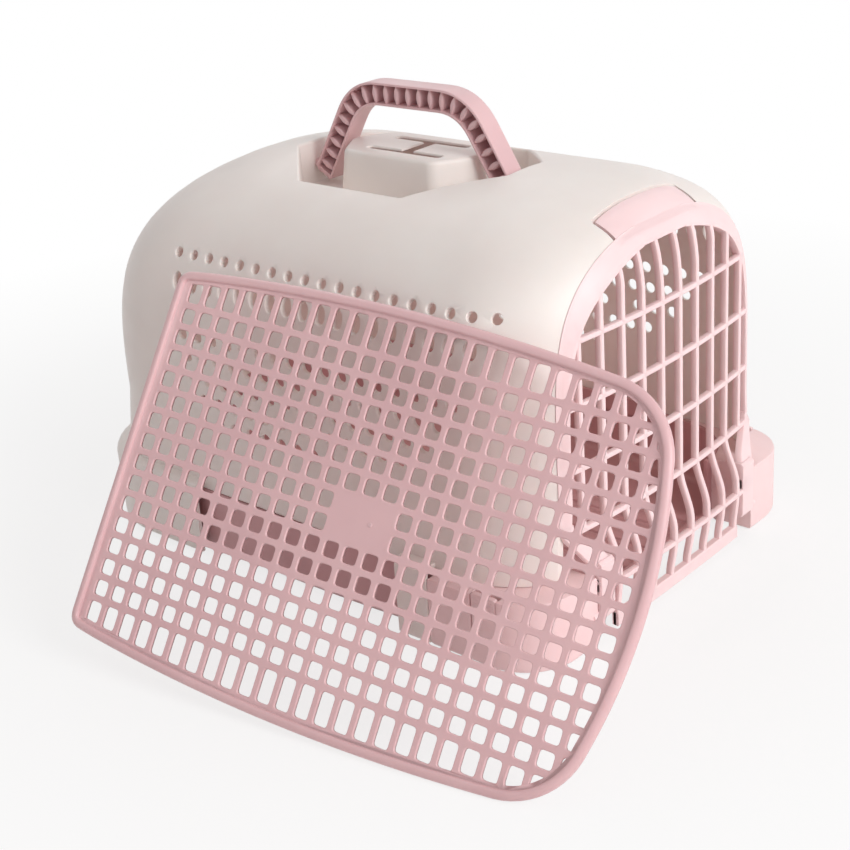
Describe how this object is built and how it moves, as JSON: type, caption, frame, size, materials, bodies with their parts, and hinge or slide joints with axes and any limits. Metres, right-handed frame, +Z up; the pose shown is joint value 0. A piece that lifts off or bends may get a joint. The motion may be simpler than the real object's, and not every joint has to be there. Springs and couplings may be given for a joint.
{
  "type": "pet carrier",
  "caption": "Rounded pet carrier: perforated hood with a folding handle on a shallow tray, domed lattice door hinged at the bottom, and a slotted floor mat leaning outside.",
  "frame": {"origin": "on the floor under the middle of the base tray", "axes": "+X from the closed end towards the door, +Y away from the wall that the mat leans on, +Z up"},
  "size_m": [0.5745, 0.4828, 0.339],
  "materials": {
    "cream_plastic": "satin",
    "tray_pink_plastic": "satin",
    "door_pink_plastic": "satin",
    "handle_pink_plastic": "satin",
    "mat_pink_plastic": "satin"
  },
  "bodies": {
    "base": {"base_tray": "tray_pink_plastic", "corner_block_near": "tray_pink_plastic", "corner_block_far": "tray_pink_plastic"},
    "hood": {"top_shell": "cream_plastic"},
    "carry_handle": {"handle": "handle_pink_plastic"},
    "front_door": {"door": "door_pink_plastic"},
    "catch_near": {"side_catch_near": "tray_pink_plastic"},
    "catch_far": {"side_catch_far": "tray_pink_plastic"},
    "mat": {"floor_mat": "mat_pink_plastic"}
  },
  "joints": [
    {"name": "door_hinge", "type": "hinge", "parent": "base", "child": "front_door", "pos_m": [0.23825, 0, 0.023], "axis": [0, 1, 0], "range_deg": [0, 94]},
    {"name": "handle_fold", "type": "hinge", "parent": "hood", "child": "carry_handle", "pos_m": [0.016, 0, 0.27], "axis": [1, 0, 0], "range_deg": [-84, 84]},
    {"name": "catch_near_pivot", "type": "hinge", "parent": "base", "child": "catch_near", "pos_m": [0.1945, -0.1583, 0.021], "axis": [1, 0, 0], "range_deg": [0, 12]},
    {"name": "catch_far_pivot", "type": "hinge", "parent": "base", "child": "catch_far", "pos_m": [0.1945, 0.1583, 0.021], "axis": [-1, 0, 0], "range_deg": [0, 12]},
    {"name": "hood_lift", "type": "slide", "parent": "base", "child": "hood", "axis": [0, 0, 1], "range_m": [0, 0.26]},
    {"name": "mat_away", "type": "slide", "parent": "hood", "child": "mat", "axis": [0, -1, 0], "range_m": [0, 0.15]}
  ]
}
